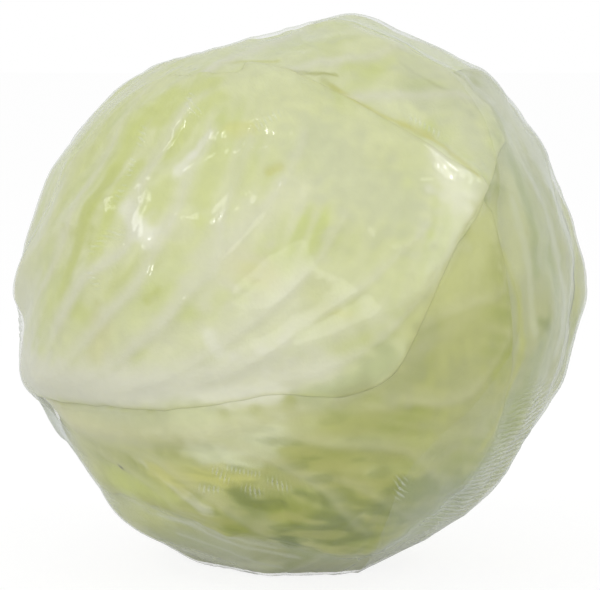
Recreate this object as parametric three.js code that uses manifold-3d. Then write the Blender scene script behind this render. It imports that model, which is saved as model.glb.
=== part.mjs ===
// A white cabbage lying on its side in clear shrink film.
//
// Millimetres, +Z up. The front of the head faces -Y and its stem end points to -X, a little back
// and down. The origin is on the surface that the head rests on, under the middle of its box.
//
// Each layer is a radius for every direction from the middle of the head. The layers stack from
// the heart out to the film, so no layer cuts into the one under it. A leaf is a shell between two
// of those radii, trimmed to the outline of the leaf.

import * as THREE from 'three';
import { mergeVertices } from 'three/addons/utils/BufferGeometryUtils.js';
import Module from 'manifold-3d';

const wasm = await Module();
wasm.setup();

// ---- driving dimensions ---------------------------------------------------------------------

const HEART_RADIUS = 79;
const REST_DEPTH = 83.2; // from the middle of the head down to the surface it rests on
const BLADE = 1.15; // thickness of a leaf away from its midrib
const LAYER_GAP = 0.45;
const FILM_THICKNESS = 0.5;
const MARGIN_RISE_OUTSIDE = 14; // how far outside a leaf's margin the next layer starts to lift
const MARGIN_RISE_INSIDE = 6; // how far inside the margin it lies flat on the leaf
const MIDRIB = { rise: 2.8, halfWidth: 11 };
const STALK = { azimuth: -105, elevation: -16, radius: 15, top: 83, root: 60, sides: 24 };
const STALK_COVER = { inner: 19, outer: 30 }; // degrees from the stalk's axis where the film lifts
const VENTS = { radius: 3, sides: 12, places: [[150, 20], [180, -12], [205, 32]] };
const SPHERE_STEPS = 8; // edges along one side of the twenty great triangles
const OUTLINE_STEPS = 12; // stations along a leaf where its outline is cut
const CUTTER = { near: 15, far: 180 };

// Where the head is fuller or flatter than a ball: direction, height and width in degrees.
const SWELLINGS = [
  { at: [0, -90], height: 2.8, width: 26 }, // where it presses on the surface
  { at: [98, 54], height: 5, width: 17 }, // top right
  { at: [120, 78], height: 6.2, width: 9 }, // the peak
  { at: [-114, 76], height: -9.5, width: 15 }, // flattened beside the peak
  { at: [-90, 6], height: 2.6, width: 12 }, // above the stalk
  { at: [-89, -12], height: -4, width: 8 }, // the notch at the stalk
  { at: [-82, -54], height: 3.8, width: 15 }, // lower left
  { at: [74, -69], height: -1.3, width: 14 }, // right of the resting spot
  { at: [86, -32], height: -3, width: 13 }, // lower right
  { at: [90, 0], height: 3.2, width: 7 }, // right-hand bump
  { at: [94, 31], height: 3.2, width: 8 }, // above that bump
];

// A leaf runs from the stem (0 degrees) over the head towards the far end (180 degrees). `way` is
// the direction that it leaves in, `reach` where its base and its tip are, and `upper` and `lower`
// how far its two margins stand from its middle line, at even steps from base to tip. `midrib` is
// how far the rib runs from that line. The list goes from the innermost leaf to the outermost.
const LEAVES = [
  {
    name: 'inner_back_leaf', way: [180, -70], reach: [14, 176], midrib: 0, colour: 0xdfe3b4,
    upper: [16, 44, 60, 66, 66, 60, 44, 16],
    lower: [-16, -44, -60, -66, -66, -60, -44, -16],
  },
  {
    name: 'crown_leaf', way: [150, 75], reach: [14, 186], midrib: 0, colour: 0xd9dfae,
    upper: [16, 42, 58, 66, 68, 62, 46, 16],
    lower: [-16, -40, -56, -64, -66, -60, -44, -14],
  },
  {
    name: 'under_leaf', way: [0, -84], reach: [14, 218], midrib: 0, colour: 0x9aa872,
    upper: [14, 34, 40, 36, 34, 32, 34, 20],
    lower: [-16, -44, -58, -64, -62, -52, -36, -14],
  },
  {
    name: 'lower_back_leaf', way: [180, -25], reach: [14, 168], midrib: 0, colour: 0xb4bd86,
    upper: [16, 40, 56, 64, 64, 56, 40, 16],
    lower: [-16, -42, -58, -66, -66, -58, -42, -14],
  },
  {
    name: 'lower_front_leaf', way: [0, -25], reach: [14, 160], midrib: 0, colour: 0xaab36d,
    upper: [16, 32, 42, 48, 50, 48, 42, 27],
    lower: [-14, -14, -14.5, -24, -40, -34, -20, 18],
  },
  {
    name: 'upper_back_leaf', way: [180, 40], reach: [14, 150], midrib: 0, colour: 0xc3cb98,
    upper: [16, 42, 58, 66, 66, 58, 42, 16],
    lower: [-16, -36, -44, -44, -42, -35, -23, -6],
  },
  {
    name: 'top_leaf', way: [0, 30], reach: [14, 162], midrib: 6, colour: 0xc9cf9c,
    upper: [18, 40, 52, 58, 60, 58, 50, 22],
    lower: [-12, -20, -24, -24, -20, -12, -16, 13],
  },
  {
    name: 'front_leaf', way: [-2, -14], reach: [14, 158], midrib: 8, colour: 0xcfd79a,
    upper: [20, 64, 77, 77, 75, 71, 68, 21],
    lower: [-2, 3, 3.5, 2, 0, -5, 10, 18.5],
  },
];

const HEART_COLOUR = 0xe6e8c0;
const STALK_COLOUR = 0xe3e2c8;
const FILM_COLOUR = 0xf2f4ee;

// ---- directions -----------------------------------------------------------------------------

const DEGREE = Math.PI / 180;
const STEM = direction(STALK.azimuth, STALK.elevation);
const DOWN = new THREE.Vector3(0, 0, -1);

// Azimuth 0 is the front (-Y) and 90 is +X.
function direction(azimuth, elevation) {
  const flat = Math.cos(elevation * DEGREE);
  return new THREE.Vector3(
    flat * Math.sin(azimuth * DEGREE),
    -flat * Math.cos(azimuth * DEGREE),
    Math.sin(elevation * DEGREE),
  );
}

function smoothstep(from, to, value) {
  const u = THREE.MathUtils.clamp((value - from) / (to - from), 0, 1);
  return u * u * (3 - 2 * u);
}

// ---- leaf outlines --------------------------------------------------------------------------

// A smooth value through evenly spaced stations, for u from 0 at the first to 1 at the last.
function along(stations, u) {
  const last = stations.length - 1;
  const place = THREE.MathUtils.clamp(u, 0, 1) * last;
  const i = Math.min(Math.floor(place), last - 1);
  const k = place - i;
  const before = stations[Math.max(i - 1, 0)];
  const after = stations[Math.min(i + 2, last)];
  const leave = (stations[i + 1] - before) / 2;
  const arrive = (after - stations[i]) / 2;
  const k2 = k * k;
  const k3 = k2 * k;
  return (2 * k3 - 3 * k2 + 1) * stations[i] + (k3 - 2 * k2 + k) * leave
    + (3 * k2 - 2 * k3) * stations[i + 1] + (k3 - k2) * arrive;
}

function leafAxes(leaf) {
  const forward = direction(...leaf.way);
  forward.addScaledVector(STEM, -forward.dot(STEM)).normalize();
  return { forward, side: new THREE.Vector3().crossVectors(STEM, forward) };
}

// The direction of the point `s` degrees along the leaf and `t` degrees off its middle line.
function onLeaf({ forward, side }, s, t) {
  const middle = new THREE.Vector3()
    .addScaledVector(STEM, Math.cos(s * DEGREE))
    .addScaledVector(forward, Math.sin(s * DEGREE));
  return middle.multiplyScalar(Math.cos(t * DEGREE)).addScaledVector(side, Math.sin(t * DEGREE));
}

function leafAngles(leaf, axes, d) {
  const middle = (leaf.reach[0] + leaf.reach[1]) / 2;
  const raw = Math.atan2(d.dot(axes.forward), d.dot(STEM)) / DEGREE;
  const s = middle + THREE.MathUtils.euclideanModulo(raw - middle + 180, 360) - 180;
  const t = Math.asin(THREE.MathUtils.clamp(d.dot(axes.side), -1, 1)) / DEGREE;
  return { s, t, u: (s - leaf.reach[0]) / (leaf.reach[1] - leaf.reach[0]) };
}

// Both margins as rows of directions, from the base to the tip, with the middle between them.
function leafRows(leaf, axes) {
  const rows = { lower: [], middle: [], upper: [] };
  for (let i = 0; i <= OUTLINE_STEPS; i += 1) {
    const u = i / OUTLINE_STEPS;
    const s = THREE.MathUtils.lerp(leaf.reach[0], leaf.reach[1], u);
    const low = along(leaf.lower, u);
    const high = along(leaf.upper, u);
    rows.lower.push(onLeaf(axes, s, low));
    rows.middle.push(onLeaf(axes, s, (low + high) / 2));
    rows.upper.push(onLeaf(axes, s, high));
  }
  return rows;
}

// How far a direction is inside the leaf's margin, in millimetres, or outside it as a minus.
function insideMargin(outline, leaf, axes, d) {
  const edge = new THREE.Vector3();
  const nearest = new THREE.Vector3();
  let angle = Math.PI;
  outline.forEach((start, i) => {
    const end = outline[(i + 1) % outline.length];
    edge.subVectors(end, start);
    const k = nearest.subVectors(d, start).dot(edge) / edge.lengthSq();
    nearest.copy(start).addScaledVector(edge, THREE.MathUtils.clamp(k, 0, 1));
    angle = Math.min(angle, nearest.angleTo(d));
  });
  const { u, t } = leafAngles(leaf, axes, d);
  const inside = u > 0 && u < 1 && t > along(leaf.lower, u) && t < along(leaf.upper, u);
  return (inside ? angle : -angle) * HEART_RADIUS;
}

function leafThickness(leaf, axes, d) {
  const { u, t } = leafAngles(leaf, axes, d);
  const offRib = (t - leaf.midrib) * DEGREE * HEART_RADIUS / MIDRIB.halfWidth;
  const taper = 1 - THREE.MathUtils.clamp(u, 0, 1);
  return BLADE + MIDRIB.rise * taper * Math.exp(-offRib * offRib);
}

// ---- layers ---------------------------------------------------------------------------------

// One ball of triangles is shared by every layer. One of its corners points straight down, so that
// the corners around it make the flat spot.
function sharedBall() {
  const ball = new THREE.IcosahedronGeometry(1, SPHERE_STEPS - 1);
  const corner = new THREE.Vector3().fromBufferAttribute(
    new THREE.IcosahedronGeometry(1, 0).getAttribute('position'), 0,
  );
  ball.applyQuaternion(new THREE.Quaternion().setFromUnitVectors(corner.normalize(), DOWN));
  ball.deleteAttribute('normal');
  ball.deleteAttribute('uv');
  const merged = mergeVertices(ball, 1e-4);
  const position = merged.getAttribute('position');
  const directions = [];
  for (let i = 0; i < position.count; i += 1) {
    directions.push(new THREE.Vector3().fromBufferAttribute(position, i).normalize());
  }
  return { directions, triangles: Array.from(merged.index.array) };
}

function heartRadius(d) {
  return SWELLINGS.reduce((radius, { at, height, width }) => {
    const off = d.angleTo(direction(...at)) / DEGREE / width;
    return radius + height * Math.exp(-off * off);
  }, HEART_RADIUS);
}

// The film clears the rim of the stalk's cut end.
function stalkCover(d) {
  const rim = Math.hypot(STALK.top, STALK.radius);
  const away = d.angleTo(STEM) / DEGREE;
  return rim * (1 - smoothstep(STALK_COVER.inner, STALK_COVER.outer, away));
}

function stackLayers(ball) {
  const layers = { heart: [], leaves: LEAVES.map(() => ({ base: [], top: [] })), film: [] };
  const shapes = LEAVES.map((leaf) => {
    const axes = leafAxes(leaf);
    const rows = leafRows(leaf, axes);
    return { axes, rows, outline: [...rows.lower, ...rows.upper.toReversed()] };
  });
  ball.directions.forEach((d) => {
    const heart = heartRadius(d);
    let level = heart + LAYER_GAP;
    const spans = LEAVES.map((leaf, i) => {
      const { axes, outline } = shapes[i];
      const distance = insideMargin(outline, leaf, axes, d);
      const cover = smoothstep(-MARGIN_RISE_OUTSIDE, MARGIN_RISE_INSIDE, distance);
      const thickness = leafThickness(leaf, axes, d);
      const base = level;
      level += (thickness + LAYER_GAP) * cover;
      return { base, top: base + thickness * cover };
    });
    const filmInside = Math.max(level, stalkCover(d) + LAYER_GAP);
    const filmOutside = filmInside + FILM_THICKNESS;
    const depth = -d.z * filmOutside;
    const flatten = depth > REST_DEPTH ? REST_DEPTH / depth : 1;
    layers.heart.push(heart * flatten);
    spans.forEach(({ base, top }, i) => {
      layers.leaves[i].base.push(base * flatten);
      layers.leaves[i].top.push(top * flatten);
    });
    layers.film.push({ inside: filmInside * flatten, outside: filmOutside * flatten });
  });
  return { layers, shapes };
}

// ---- solids ---------------------------------------------------------------------------------

function toManifold(points, triangles) {
  return new wasm.Manifold(new wasm.Mesh({
    numProp: 3,
    vertProperties: new Float32Array(points.flatMap((p) => [p.x, p.y, p.z])),
    triVerts: new Uint32Array(triangles),
  }));
}

function geometryToManifold(geometry) {
  geometry.deleteAttribute('normal');
  geometry.deleteAttribute('uv');
  const merged = mergeVertices(geometry, 1e-4);
  return new wasm.Manifold(new wasm.Mesh({
    numProp: 3,
    vertProperties: merged.getAttribute('position').array,
    triVerts: new Uint32Array(merged.index.array),
  }));
}

function toGeometry(manifold) {
  const mesh = manifold.getMesh();
  const geometry = new THREE.BufferGeometry();
  geometry.setAttribute('position', new THREE.BufferAttribute(mesh.vertProperties, 3));
  geometry.setIndex(new THREE.BufferAttribute(mesh.triVerts, 1));
  geometry.computeVertexNormals();
  return geometry;
}

function ballSolid(ball, radii) {
  const points = ball.directions.map((d, i) => d.clone().multiplyScalar(radii[i]));
  return toManifold(points, ball.triangles);
}

// The closed skin between two radii of the shared ball, with a hollow inside.
function shellSolid(ball, inside, outside) {
  const count = ball.directions.length;
  const points = [
    ...ball.directions.map((d, i) => d.clone().multiplyScalar(outside[i])),
    ...ball.directions.map((d, i) => d.clone().multiplyScalar(inside[i])),
  ];
  const inward = ball.triangles.map((v) => v + count).reverse();
  return toManifold(points, [...ball.triangles, ...inward]);
}

// A wedge from near the middle of the head out past the film, with the leaf's outline as section.
function outlineWedge(rows) {
  const lines = [rows.lower, rows.middle, rows.upper];
  const size = OUTLINE_STEPS + 1;
  const points = [CUTTER.far, CUTTER.near].flatMap(
    (radius) => lines.flatMap((line) => line.map((d) => d.clone().multiplyScalar(radius))),
  );
  const inner = lines.length * size;
  const triangles = [];
  const quad = (a, b, c, d) => triangles.push(a, b, c, a, c, d);
  for (let row = 0; row < lines.length - 1; row += 1) {
    for (let i = 0; i < OUTLINE_STEPS; i += 1) {
      const a = row * size + i;
      quad(a, a + 1, a + size + 1, a + size);
      quad(inner + a, inner + a + size, inner + a + size + 1, inner + a + 1);
    }
    const base = row * size;
    const tip = base + OUTLINE_STEPS;
    quad(base, base + size, inner + base + size, inner + base);
    quad(tip + size, tip, inner + tip, inner + tip + size);
  }
  const lastRow = (lines.length - 1) * size;
  for (let i = 0; i < OUTLINE_STEPS; i += 1) {
    quad(i + 1, i, inner + i, inner + i + 1);
    quad(lastRow + i, lastRow + i + 1, inner + lastRow + i + 1, inner + lastRow + i);
  }
  return toManifold(points, triangles);
}

// A round bar along a direction, between two distances from the middle of the head.
function bar(d, radius, sides, from, to) {
  const geometry = new THREE.CylinderGeometry(radius, radius, to - from, sides);
  const up = new THREE.Vector3(0, 1, 0);
  geometry.applyQuaternion(new THREE.Quaternion().setFromUnitVectors(up, d));
  const middle = d.clone().multiplyScalar((from + to) / 2);
  geometry.translate(middle.x, middle.y, middle.z);
  return geometryToManifold(geometry);
}

// ---- pieces ---------------------------------------------------------------------------------

function leafMaterial(colour) {
  return new THREE.MeshStandardMaterial({ color: colour, roughness: 0.55, metalness: 0 });
}

function filmMaterial() {
  return new THREE.MeshStandardMaterial({
    color: FILM_COLOUR, roughness: 0.15, metalness: 0, transparent: true, opacity: 0.35,
  });
}

function namedMesh(name, manifold, material) {
  const mesh = new THREE.Mesh(toGeometry(manifold), material);
  mesh.name = name;
  return mesh;
}

function makeHeart(ball, layers) {
  return namedMesh('heart', ballSolid(ball, layers.heart), leafMaterial(HEART_COLOUR));
}

function makeStalk(ball, layers) {
  const aroundHeart = ballSolid(ball, layers.heart.map((radius) => radius + LAYER_GAP));
  const stub = bar(STEM, STALK.radius, STALK.sides, STALK.root, STALK.top);
  return namedMesh('stalk', stub.subtract(aroundHeart), leafMaterial(STALK_COLOUR));
}

function makeLeaf(ball, leaf, layer, rows) {
  const shell = shellSolid(ball, layer.base, layer.top);
  return namedMesh(leaf.name, shell.intersect(outlineWedge(rows)), leafMaterial(leaf.colour));
}

function makeFilm(ball, layers) {
  const inside = layers.film.map((film) => film.inside);
  const outside = layers.film.map((film) => film.outside);
  let film = shellSolid(ball, inside, outside);
  VENTS.places.forEach(([azimuth, elevation]) => {
    const d = direction(azimuth, elevation);
    film = film.subtract(bar(d, VENTS.radius, VENTS.sides, STALK.root, CUTTER.far));
  });
  return namedMesh('shrink_film', film, filmMaterial());
}

function makeCabbage() {
  const ball = sharedBall();
  const { layers, shapes } = stackLayers(ball);
  const film = makeFilm(ball, layers);
  const cabbage = new THREE.Group();
  cabbage.add(makeHeart(ball, layers), makeStalk(ball, layers));
  LEAVES.forEach((leaf, i) => {
    cabbage.add(makeLeaf(ball, leaf, layers.leaves[i], shapes[i].rows));
  });
  cabbage.add(film);
  const box = new THREE.Box3().setFromObject(film);
  cabbage.position.set(
    -(box.min.x + box.max.x) / 2,
    -(box.min.y + box.max.y) / 2,
    -box.min.z,
  );
  return cabbage;
}

export default makeCabbage();
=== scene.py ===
# A white cabbage lying on its side in clear shrink film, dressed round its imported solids.
#
# Sizes are in millimetres and degrees until a mesh is made. A place on the head is a direction
# from its middle: azimuth 0 is the front (-Y), 90 is +X, and elevation 90 is straight up. The
# layers stack from the heart out, as in the solids, so no leaf cuts into the one under it.
import math

import bmesh
import bpy
import numpy as np
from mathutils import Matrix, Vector


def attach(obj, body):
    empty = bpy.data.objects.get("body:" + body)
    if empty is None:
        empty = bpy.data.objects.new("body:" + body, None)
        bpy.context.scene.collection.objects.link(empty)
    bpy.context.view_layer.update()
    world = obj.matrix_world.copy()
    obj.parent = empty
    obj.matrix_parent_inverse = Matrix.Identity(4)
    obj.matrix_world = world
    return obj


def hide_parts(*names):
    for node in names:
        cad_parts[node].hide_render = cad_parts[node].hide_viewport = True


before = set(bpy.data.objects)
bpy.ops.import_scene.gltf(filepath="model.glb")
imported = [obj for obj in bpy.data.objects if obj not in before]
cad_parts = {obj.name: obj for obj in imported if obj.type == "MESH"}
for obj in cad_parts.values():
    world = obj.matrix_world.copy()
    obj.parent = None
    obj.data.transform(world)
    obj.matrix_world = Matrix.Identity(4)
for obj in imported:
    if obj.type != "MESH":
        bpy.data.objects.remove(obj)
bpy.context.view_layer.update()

# ---- driving sizes ----

HEART_RADIUS = 79.0
REST_DEPTH = 83.2  # from the middle of the head down to the floor
BLADE = 1.42  # the solids' leaves are thinner, with wider gaps, so the layers lie alike
LAYER_GAP = 0.18
FACETS = 190  # flat places that the tight film presses into the head
FACET_SPREAD = 0.006
FACET_SHARPNESS = 170.0
PRESSED_IN = 0.9985  # the share of its radius that the head keeps under the film
SKIN = 1.08  # the radius of the outer leaves, as a share of the heart's
MIDDLE = np.array([-0.52, 0.28, REST_DEPTH])  # of the head, in the solids' frame
MARGIN_OUTSIDE = 5.0  # how far outside a margin the next layer starts to lift
MARGIN_INSIDE = 3.0
VEIN_RISE = 0.6
FILM_CLEAR = 0.2
FILM_SPAN = 0.8  # the most that the film stands off the leaves between high points
MAP_STEP = 0.5  # degrees between samples of a leaf's vein map
MM = 0.001
ARC = math.radians(1) * HEART_RADIUS  # millimetres along the head to a degree
STALK = {"azimuth": -105, "elevation": -16, "radius": 15.0, "top": 83.0}
STALK_COVER = (19, 30)  # degrees off the stalk where the film comes down from its rim
VENTS = ((150, 20), (180, -12), (205, 32))
VENT_RADIUS = 3.0
FILM_RADIUS = 85  # about, to lay out the gathers round the head
VEIN_PAIRS = 9  # on a leaf whose veins are not drawn one by one
VIEW = (0, 6)  # azimuth and elevation of the camera

SWELLINGS = [  # azimuth, elevation, height, width in degrees
    (0, -90, 2.8, 26),
    (98, 54, 5.0, 17),
    (120, 78, 6.2, 9),
    (-114, 76, -9.5, 15),
    (-90, 6, 2.6, 12),
    (-89, -12, -4.0, 8),
    (-82, -54, 3.8, 15),
    (74, -69, -1.3, 14),
    (86, -32, -3.0, 13),
    (90, 0, 3.2, 7),
    (94, 31, 3.2, 8),
]


# ---- small tools ----


def direction(azimuth, elevation):
    azimuth, elevation = np.radians(azimuth), np.radians(elevation)
    flat = np.cos(elevation)
    return np.stack(
        [flat * np.sin(azimuth), -flat * np.cos(azimuth), np.sin(elevation) + 0 * azimuth], -1
    )


STEM = direction(STALK["azimuth"], STALK["elevation"])
FRONT = direction(*VIEW)
SEEN = 1.05  # places are given on a ball this much larger than the head's skin, seen from the front


def as_seen(d):
    """Moves places given on the larger ball onto the skin behind them, as seen from the front."""
    ahead = (d @ FRONT)[..., None]
    across = d - ahead * FRONT
    wide = np.linalg.norm(across, axis=-1, keepdims=True)
    spread = 1 + (SEEN - 1) * (1 - wide**4)
    moved = across * spread + np.sqrt(np.maximum(1 - (wide * spread) ** 2, 0)) * FRONT
    return np.where(ahead > 0, moved, d)


def smoothstep(start, end, value):
    u = np.clip((value - start) / (end - start), 0, 1)
    return u * u * (3 - 2 * u)


def bump(value, width):
    """1 where value is 0, falling off smoothly over width."""
    return np.exp(-((value / width) ** 2))


def off(d, azimuth, elevation):
    """Degrees between each direction and one place on the head."""
    cosine = np.clip(d @ direction(azimuth, elevation), -1, 1)
    return np.degrees(np.arccos(cosine))


def with_mounds(value, d, mounds):
    """Adds round mounds, each an azimuth, elevation, height and width in degrees."""
    for azimuth, elevation, height, width in mounds:
        value = value + height * bump(off(d, azimuth, elevation), width)
    return value


def by_blocks(d, size, work):
    """Works on the directions a block at a time, to spare memory."""
    flat = d.reshape(-1, 3)
    blocks = [work(flat[start : start + size]) for start in range(0, len(flat), size)]
    return np.concatenate(blocks).reshape(d.shape[:-1])


def from_path(d, places):
    """Millimetres between each direction and a line through places on the head."""
    stops = as_seen(direction(*np.array(places, float).T))
    nearest = np.full(d.shape[:-1], 1e3)
    for a, b in zip(stops[:-1], stops[1:]):
        run = b - a
        k = np.clip((d - a) @ run / (run @ run), 0, 1)
        here = np.linalg.norm(d - a - k[..., None] * run, axis=-1)
        nearest = np.minimum(nearest, here)
    return nearest * HEART_RADIUS * SKIN


def through(stations, u):
    """A smooth value through evenly spaced stations, for u from 0 to 1."""
    stations = np.asarray(stations, float)
    last = len(stations) - 1
    place = np.clip(u, 0, 1) * last
    i = np.minimum(place.astype(int), last - 1)
    k = place - i
    start, end = stations[i], stations[i + 1]
    leave = (end - stations[np.maximum(i - 1, 0)]) / 2
    arrive = (stations[np.minimum(i + 2, last)] - start) / 2
    k2, k3 = k * k, k * k * k
    return (
        (2 * k3 - 3 * k2 + 1) * start
        + (k3 - 2 * k2 + k) * leave
        + (3 * k2 - 2 * k3) * end
        + (k3 - k2) * arrive
    )


def ripples(points, wavelength, seed, count=28):
    """Smooth noise of about unit size over points in millimetres."""
    rng = np.random.default_rng(seed)
    axes = rng.normal(size=(count, 3))
    axes /= np.linalg.norm(axes, axis=1)[:, None]
    waves = axes * (2 * math.pi / wavelength * rng.uniform(0.6, 1.5, count))[:, None]
    phases = rng.uniform(0, 2 * math.pi, count)
    shape = points.shape[:-1]
    flat = points.reshape(-1, 3)
    total = np.cos(flat @ waves.T + phases).sum(1) * math.sqrt(2 / count)
    return total.reshape(shape)


def colour(code):
    """A linear colour from an sRGB code such as 'c8d08c'."""
    values = np.array([int(code[i : i + 2], 16) for i in (0, 2, 4)]) / 255
    return np.where(values <= 0.04045, values / 12.92, ((values + 0.055) / 1.055) ** 2.4)


def blend_in(base, other, amount):
    return base + (other - base) * np.clip(amount, 0, 1)[..., None]


# ---- leaves ----


class Leaf:
    """An outer leaf: where it lies, its margins, its veins and its colours.

    s runs from the stem (0) over the head, t to either side of the leaf's middle line. A vein is
    (width in mm at its start, at its end, strength, its points as (s, t)).
    """

    def __init__(self, name, way, reach, lower, upper, **more):
        self.name, self.reach, self.lower, self.upper = name, reach, lower, upper
        self.midrib = more.get("midrib", 0)
        self.rib = more.get("rib", (2.8, 6.5))  # rise and half width at the stem, in mm
        self.wave = more.get("wave", 1.0)
        self.spacing = more.get("spacing", 1.3)
        self.edge = more.get("edge", (4.5, 4.5))  # how far in from its margin it is full
        self.lean = more.get("lean", 0)  # how much sharper the far side of a vein is
        self.torn = more.get("torn")  # where the blade is bruised and flecked
        self.colours = more["colours"]
        self.seed = more["seed"]
        forward = direction(*way)
        forward = forward - (forward @ STEM) * STEM
        self.forward = forward / np.linalg.norm(forward)
        self.side = np.cross(STEM, self.forward)
        self.make_map(more.get("veins") or self.feather())

    def margins(self, s):
        u = (s - self.reach[0]) / (self.reach[1] - self.reach[0])
        rng = np.random.default_rng(self.seed)
        lines = []
        for stations in (self.lower, self.upper):
            line = through(stations, u)
            for length in (31, 17, 9.5, 6.1):
                phase = rng.uniform(0, 2 * math.pi)
                line = line + self.wave * length / 34 * np.sin(2 * math.pi * s / length + phase)
            lines.append(line)
        return lines

    def point(self, s, t):
        s, t = np.radians(s)[..., None], np.radians(t)[..., None]
        middle = np.cos(s) * STEM + np.sin(s) * self.forward
        return np.cos(t) * middle + np.sin(t) * self.side

    def angles(self, d):
        middle = sum(self.reach) / 2
        raw = np.degrees(np.arctan2(d @ self.forward, d @ STEM))
        s = middle + (raw - middle + 180) % 360 - 180
        return s, np.degrees(np.arcsin(np.clip(d @ self.side, -1, 1)))

    def inside(self, s, t):
        """Millimetres inside the margin, or outside it as a minus."""
        ahead = 0.5
        low, high = self.margins(s)
        low_next, high_next = self.margins(s + ahead)
        squeeze = np.maximum(np.cos(np.radians(t)), 0.2)
        from_low = (t - low) / np.hypot(1, (low_next - low) / ahead / squeeze)
        from_high = (high - t) / np.hypot(1, (high_next - high) / ahead / squeeze)
        from_ends = np.minimum(s - self.reach[0], self.reach[1] - s) * squeeze
        return ARC * np.minimum(np.minimum(from_low, from_high), from_ends)

    def feather(self):
        """Side veins in pairs, which leave the midrib at a slant and bend towards the tip."""
        veins = []
        start, end = self.reach
        rng = np.random.default_rng(self.seed + 50)
        for i in range(VEIN_PAIRS):
            s0 = start + 10 + (end - start) * 0.78 * (i / VEIN_PAIRS) ** 1.1
            for way, line in ((-1, 0), (1, 1)):
                first = s0 + rng.uniform(-3, 3)
                run = (end - first) * rng.uniform(0.5, 0.62)
                k = np.linspace(0, 1, 7)
                s = first + run * k ** 1.15
                edge = self.margins(s)[line] - self.midrib
                t = self.midrib + way * np.abs(edge) * 0.96 * k ** 0.8
                veins.append((2.4, 0.9, 0.8, list(zip(s, t))))
        return veins

    def make_map(self, veins):
        pad = 8
        self.s_axis = np.arange(self.reach[0] - pad, self.reach[1] + pad, MAP_STEP)
        self.t_axis = np.arange(-88, 88.1, MAP_STEP)
        self.vein = np.zeros((len(self.s_axis), len(self.t_axis)))
        self.painted_vein_shade = self.vein.copy()
        for vein in veins:
            self.draw(*vein)

    def draw(self, start_width, end_width, strength, points):
        """Adds a vein to the map, as the highest of what is there and its own soft profile, and a
        line of painted shade along its far side to a second map.
        """
        points = np.asarray(points, float)
        points = np.stack(self.angles(as_seen(self.point(points[:, 0], points[:, 1]))), 1)
        u = np.linspace(0, 1, 6 * len(points))
        path = np.stack([through(points[:, 0], u), through(points[:, 1], u)], 1)
        for i in range(len(path) - 1):
            width = start_width + (end_width - start_width) * u[i]
            fade = strength * (1 - 0.55 * u[i] ** 2) * smoothstep(-0.08, 0.3, u[i])
            middle = (path[i] + path[i + 1]) / 2
            squeeze = max(math.cos(math.radians(middle[1])), 0.15)
            reach = 2.6 * width / ARC
            low = np.minimum(path[i], path[i + 1]) - (reach / squeeze, reach)
            high = np.maximum(path[i], path[i + 1]) + (reach / squeeze, reach)
            rows = slice(*np.searchsorted(self.s_axis, (low[0], high[0])))
            columns = slice(*np.searchsorted(self.t_axis, (low[1], high[1])))
            ds = (self.s_axis[rows, None] - path[i, 0]) * squeeze
            dt = self.t_axis[None, columns] - path[i, 1]
            edge = (path[i + 1] - path[i]) * (squeeze, 1)
            k = np.clip((ds * edge[0] + dt * edge[1]) / max(edge @ edge, 1e-9), 0, 1)
            distance = ARC * np.hypot(ds - k * edge[0], dt - k * edge[1])
            beyond = ds * edge[1] - dt * edge[0] > 0
            wide = width * np.where(beyond, 1 - self.lean, 1 + self.lean)
            here = self.vein[rows, columns]
            np.maximum(here, fade * bump(distance, wide), out=here)
            here = self.painted_vein_shade[rows, columns]
            # a line of painted shade along the far side of the vein, as if its ridge shaded it
            shade = fade * beyond * bump(distance - 0.75 * width, 0.5 * width)
            np.maximum(here, shade, out=here)

    def look_up(self, values, s, t):
        a = np.clip((s - self.s_axis[0]) / MAP_STEP, 0, len(self.s_axis) - 1.001)
        b = np.clip((t - self.t_axis[0]) / MAP_STEP, 0, len(self.t_axis) - 1.001)
        i, j = a.astype(int), b.astype(int)
        a, b = a - i, b - j
        near = values[i, j] * (1 - b) + values[i, j + 1] * b
        far = values[i + 1, j] * (1 - b) + values[i + 1, j + 1] * b
        return near * (1 - a) + far * a

    def rib_rise(self, s, t):
        """The midrib, thick and wide at the stem and gone at the tip."""
        rise, width = self.rib
        u = np.clip((s - self.reach[0]) / (self.reach[1] - self.reach[0]), 0, 1)
        left = (1 - u) ** 1.2
        return rise * left * bump((t - self.midrib) * ARC, width * (0.35 + 0.65 * left))

    def thickness(self, s, t):
        veins = self.look_up(self.vein, s, t)
        return BLADE + self.rib_rise(s, t) + VEIN_RISE * veins

    def lift(self, d):
        """How much this leaf raises what lies over it."""
        s, t = self.angles(d)
        cover = smoothstep(-MARGIN_OUTSIDE, MARGIN_INSIDE, self.inside(s, t))
        return (self.thickness(s, t) + LAYER_GAP) * cover


PALE = {"base": "d4d8a4", "streak": "c8d084", "cream": "d8d8c0", "margin": "c8c87c"}
GREEN = {"base": "b8bc74", "streak": "a4ac50", "cream": "d0d0a4", "margin": "bcc060"}
GREY = {"base": "b4b880", "streak": "a4ac68", "cream": "c8cca4", "margin": "b4bc78"}

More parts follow.
